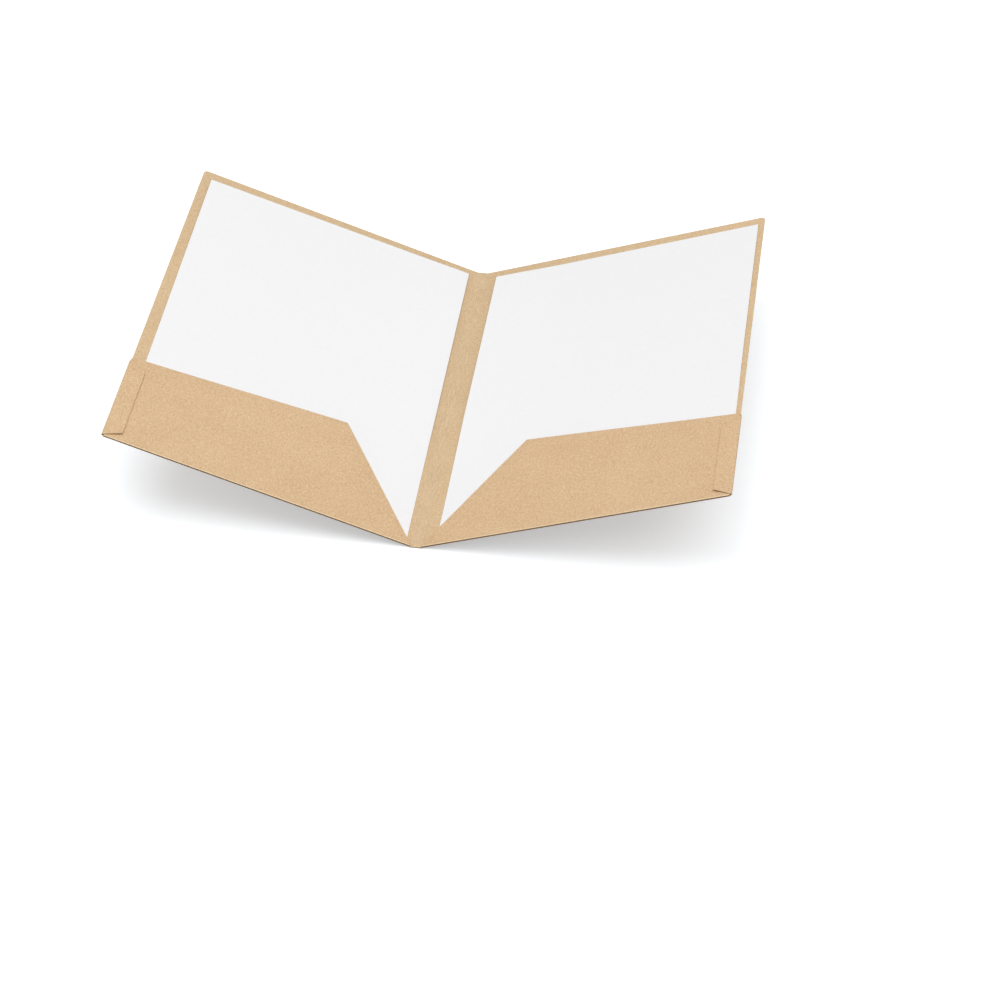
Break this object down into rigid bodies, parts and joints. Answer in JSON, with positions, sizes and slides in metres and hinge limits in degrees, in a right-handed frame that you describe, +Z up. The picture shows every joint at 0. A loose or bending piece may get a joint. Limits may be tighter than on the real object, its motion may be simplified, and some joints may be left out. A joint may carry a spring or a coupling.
{
  "type": "two pocket folder",
  "caption": "Open kraft board folder with a narrow creased spine, a glued pocket along the bottom of each cover and a white A4 paper in each pocket.",
  "frame": {"origin": "middle of the spine's outer face, which lies on the table", "axes": "+X across the covers towards the right cover, +Y along the spine from the pockets to the top edge, +Z up"},
  "size_m": [0.4308, 0.308, 0.079],
  "materials": {
    "kraft_board": "uncoated kraft",
    "paper": "smooth white",
    "glue": "dried glue film"
  },
  "bodies": {
    "spine": {"spine": "kraft_board"},
    "right_cover": {"right_cover": "kraft_board", "right_bottom_fold": "kraft_board", "right_pocket": "kraft_board", "right_side_fold": "kraft_board", "right_glue_tab": "kraft_board", "right_glue_line": "glue"},
    "left_cover": {"left_cover": "kraft_board", "left_bottom_fold": "kraft_board", "left_pocket": "kraft_board", "left_side_fold": "kraft_board", "left_glue_tab": "kraft_board", "left_glue_line": "glue"},
    "right_sheet": {"right_sheet": "paper"},
    "left_sheet": {"left_sheet": "paper"}
  },
  "joints": [
    {"name": "right_crease", "type": "hinge", "parent": "spine", "child": "right_cover", "pos_m": [0.004, 0, 0.0003], "axis": [0, -1, 0], "range_deg": [-20, 70]},
    {"name": "left_crease", "type": "hinge", "parent": "spine", "child": "left_cover", "pos_m": [-0.004, 0, 0.0003], "axis": [0, 1, 0], "range_deg": [-20, 70]},
    {"name": "right_sheet_slide", "type": "slide", "parent": "right_cover", "child": "right_sheet", "axis": [0, 1, 0], "range_m": [0, 0.095]},
    {"name": "left_sheet_slide", "type": "slide", "parent": "left_cover", "child": "left_sheet", "axis": [0, 1, 0], "range_m": [-0.0008, 0.0942]}
  ]
}
